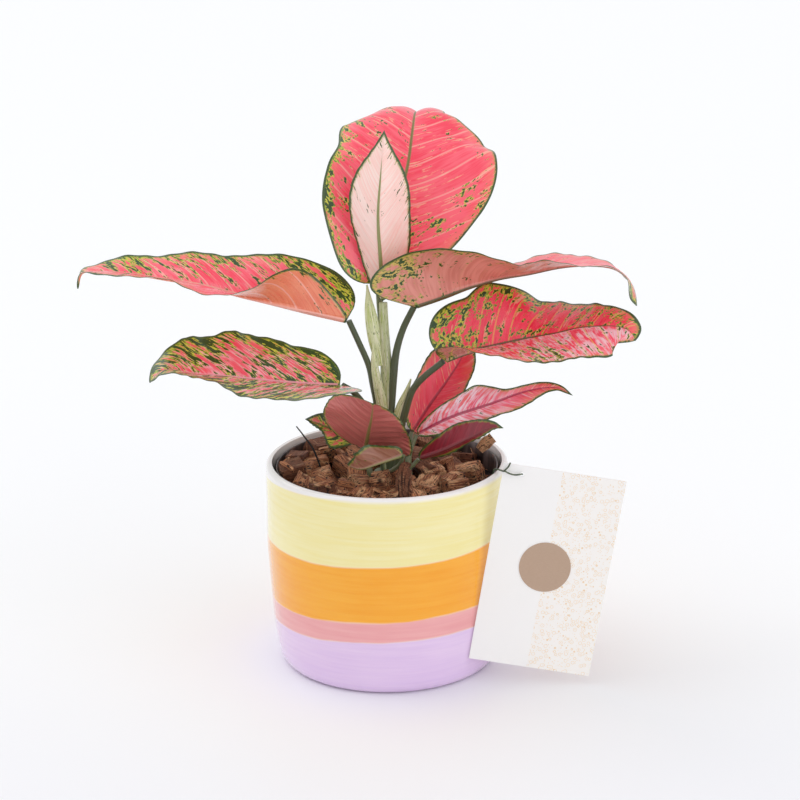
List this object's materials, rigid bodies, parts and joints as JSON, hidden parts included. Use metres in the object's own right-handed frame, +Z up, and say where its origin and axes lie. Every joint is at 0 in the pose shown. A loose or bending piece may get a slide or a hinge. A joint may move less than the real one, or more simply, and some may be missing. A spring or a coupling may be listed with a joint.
{
  "type": "potted plant",
  "caption": "Leafy foliage plant with pink and green leaves, standing in husk mulch in a round striped ceramic cachepot with a hanging card.",
  "frame": {"origin": "centre of the pot's flat base, on the surface it stands on", "axes": "+Z up, the pot's axis; -Y towards the front, where the card and the small front leaves are; +X to the right seen from the front"},
  "size_m": [0.3144, 0.193, 0.3136],
  "materials": {
    "glaze": "gloss glaze in pale yellow, orange, pink and lilac bands, white inside",
    "liner_plastic": "dark thin moulded plastic",
    "soil": "dark crumbly potting soil",
    "husk": "fibrous brown coconut husk",
    "stalk": "smooth dark green, cream-lime sheaths",
    "leaf": "satin, pink-red with lime and dark green mottling and a dark green edge",
    "young_leaf": "satin, cream pink with a green edge",
    "dark_leaf": "matt dusty red underside with an olive edge",
    "card": "smooth white card with a pale orange pattern",
    "kraft_paper": "brown kraft paper",
    "tie_wire": "dark green coated wire"
  },
  "bodies": {
    "root": {"pot": "glaze", "grow_pot": "liner_plastic", "soil": "soil", "husk_mulch": "husk", "shoot_main": "stalk", "shoot_right": "stalk", "shoot_front": "stalk", "leaf_top": "leaf", "leaf_young": "young_leaf", "leaf_left_long": "leaf", "leaf_right_high": "leaf", "leaf_right_mid": "leaf", "leaf_left_low": "leaf", "leaf_back_pink": "leaf", "leaf_right_low": "leaf", "leaf_left_small": "leaf", "leaf_front": "dark_leaf", "leaf_front_small": "dark_leaf", "leaf_crimson": "dark_leaf", "tag_card": "card", "tag_sticker": "kraft_paper", "tag_tie": "tie_wire"}
  },
  "joints": []
}
